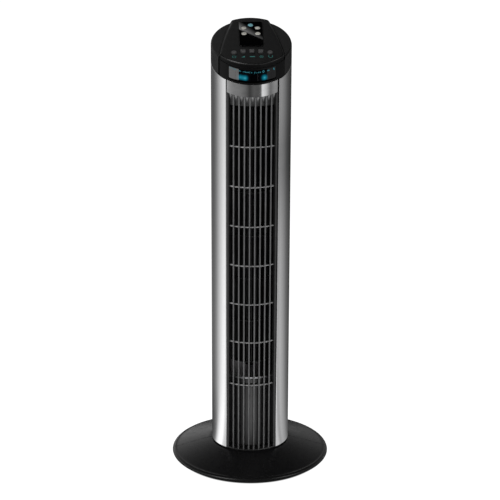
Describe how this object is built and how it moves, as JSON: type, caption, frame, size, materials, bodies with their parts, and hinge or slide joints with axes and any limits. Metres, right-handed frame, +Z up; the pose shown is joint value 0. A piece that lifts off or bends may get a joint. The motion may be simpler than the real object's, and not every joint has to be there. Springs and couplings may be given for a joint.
{
  "type": "tower fan",
  "caption": "Upright oscillating tower fan: round domed base, slim silver column with a barred air outlet, sloping black control head and a remote control in its pocket.",
  "frame": {"origin": "on the floor, under the axis that the tower swivels on", "axes": "+Z up; -Y towards the front of the fan (air outlet and display); +X towards the right cover as seen from the front"},
  "size_m": [0.271, 0.2714, 0.76],
  "materials": {
    "base_plastic": "satin black moulded plastic",
    "black_plastic": "satin black moulded plastic",
    "gloss_black": "high gloss black",
    "silver_cover": "silver metallic lacquer on plastic",
    "brushed_plate": "brushed vertically",
    "grille_plastic": "dark grey moulded plastic",
    "zinc_steel": "zinc plated",
    "motor_steel": "pressed steel",
    "white_nylon": "natural nylon",
    "rubber": "black rubber",
    "smoked_window": "smoked clear plastic, nearly black",
    "circuit_board": "green solder mask",
    "key_black": "polished black plastic",
    "remote_key_white": "off-white silicone",
    "remote_key_blue": "pale blue silicone",
    "harness": "black sleeving"
  },
  "bodies": {
    "base": {"base_front": "base_plastic", "base_rear": "base_plastic", "base_hub": "zinc_steel", "swivel_gear": "white_nylon", "swivel_bearing_ring": "black_plastic", "retaining_nut": "zinc_steel", "cord_gland": "rubber", "base_screw_1": "zinc_steel", "base_screw_2": "zinc_steel", "base_screw_3": "zinc_steel", "base_screw_4": "zinc_steel", "foot_1": "rubber", "foot_2": "rubber", "foot_3": "rubber", "foot_4": "rubber"},
    "tower": {"turntable": "black_plastic", "left_cover": "silver_cover", "right_cover": "silver_cover", "badge_plate": "brushed_plate", "front_grille": "grille_plastic", "rear_grille": "black_plastic", "grip_cup": "black_plastic", "scroll_wall": "black_plastic", "air_tongue": "black_plastic", "motor_plate": "motor_steel", "top_bearing_plate": "black_plastic", "top_bush": "rubber", "motor_case": "motor_steel", "motor_stator": "zinc_steel", "lower_shroud": "grille_plastic", "oscillation_motor": "zinc_steel", "motor_capacitor": "remote_key_white", "wiring_loom": "harness", "head_shell": "black_plastic", "control_panel": "black_plastic", "display_window": "smoked_window", "display_board": "circuit_board", "control_board": "circuit_board", "rear_screw_1": "zinc_steel", "rear_screw_2": "zinc_steel", "rear_screw_3": "zinc_steel", "rear_screw_4": "zinc_steel"},
    "blower": {"blower_wheel": "black_plastic", "motor_rotor": "zinc_steel", "top_pivot_pin": "zinc_steel"},
    "pinion": {"drive_pinion": "white_nylon"},
    "remote": {"remote_case": "gloss_black", "remote_face": "gloss_black", "battery_tray": "black_plastic"},
    "key_1": {"control_key_1": "key_black"},
    "key_2": {"control_key_2": "key_black"},
    "key_3": {"control_key_3": "key_black"},
    "key_4": {"control_key_4": "key_black"},
    "key_5": {"control_key_5": "key_black"},
    "remote_button_power": {"remote_key_power": "remote_key_blue"},
    "remote_button_a": {"remote_key_a": "remote_key_white"},
    "remote_button_b": {"remote_key_b": "remote_key_white"},
    "remote_button_c": {"remote_key_c": "remote_key_white"},
    "remote_button_d": {"remote_key_d": "remote_key_white"}
  },
  "joints": [
    {"name": "tower_swivel", "type": "hinge", "parent": "base", "child": "tower", "pos_m": [0, 0, 0.034], "axis": [0, 0, 1], "range_deg": [-35, 35]},
    {"name": "blower_spin", "type": "hinge", "parent": "tower", "child": "blower", "pos_m": [0, 0.006, 0.12], "axis": [0, 0, 1], "continuous": true},
    {"name": "pinion_turn", "type": "hinge", "parent": "tower", "child": "pinion", "pos_m": [0, -0.03212, 0.026], "axis": [0, 0, 1], "range_deg": [-106, 106]},
    {"name": "remote_lift", "type": "slide", "parent": "tower", "child": "remote", "axis": [0, -0.3552, 0.9348], "range_m": [0, 0.04]},
    {"name": "key_1_press", "type": "slide", "parent": "tower", "child": "key_1", "axis": [0, 0.3552, -0.9348], "range_m": [0, 0.0008], "stiffness_N_per_m": 350, "springref_m": -0.001},
    {"name": "key_2_press", "type": "slide", "parent": "tower", "child": "key_2", "axis": [0, 0.3552, -0.9348], "range_m": [0, 0.0008], "stiffness_N_per_m": 350, "springref_m": -0.001},
    {"name": "key_3_press", "type": "slide", "parent": "tower", "child": "key_3", "axis": [0, 0.3552, -0.9348], "range_m": [0, 0.0008], "stiffness_N_per_m": 350, "springref_m": -0.001},
    {"name": "key_4_press", "type": "slide", "parent": "tower", "child": "key_4", "axis": [0, 0.3552, -0.9348], "range_m": [0, 0.0008], "stiffness_N_per_m": 350, "springref_m": -0.001},
    {"name": "key_5_press", "type": "slide", "parent": "tower", "child": "key_5", "axis": [0, 0.3552, -0.9348], "range_m": [0, 0.0008], "stiffness_N_per_m": 350, "springref_m": -0.001},
    {"name": "remote_button_power_press", "type": "slide", "parent": "remote", "child": "remote_button_power", "axis": [0, 0.3552, -0.9348], "range_m": [0, 0.0005], "stiffness_N_per_m": 300, "springref_m": -0.001},
    {"name": "remote_button_a_press", "type": "slide", "parent": "remote", "child": "remote_button_a", "axis": [0, 0.3552, -0.9348], "range_m": [0, 0.0005], "stiffness_N_per_m": 300, "springref_m": -0.001},
    {"name": "remote_button_b_press", "type": "slide", "parent": "remote", "child": "remote_button_b", "axis": [0, 0.3552, -0.9348], "range_m": [0, 0.0005], "stiffness_N_per_m": 300, "springref_m": -0.001},
    {"name": "remote_button_c_press", "type": "slide", "parent": "remote", "child": "remote_button_c", "axis": [0, 0.3552, -0.9348], "range_m": [0, 0.0005], "stiffness_N_per_m": 300, "springref_m": -0.001},
    {"name": "remote_button_d_press", "type": "slide", "parent": "remote", "child": "remote_button_d", "axis": [0, 0.3552, -0.9348], "range_m": [0, 0.0005], "stiffness_N_per_m": 300, "springref_m": -0.001}
  ],
  "couplings": [
    {"joint": "pinion_turn", "follows": "tower_swivel", "ratio": 3}
  ]
}
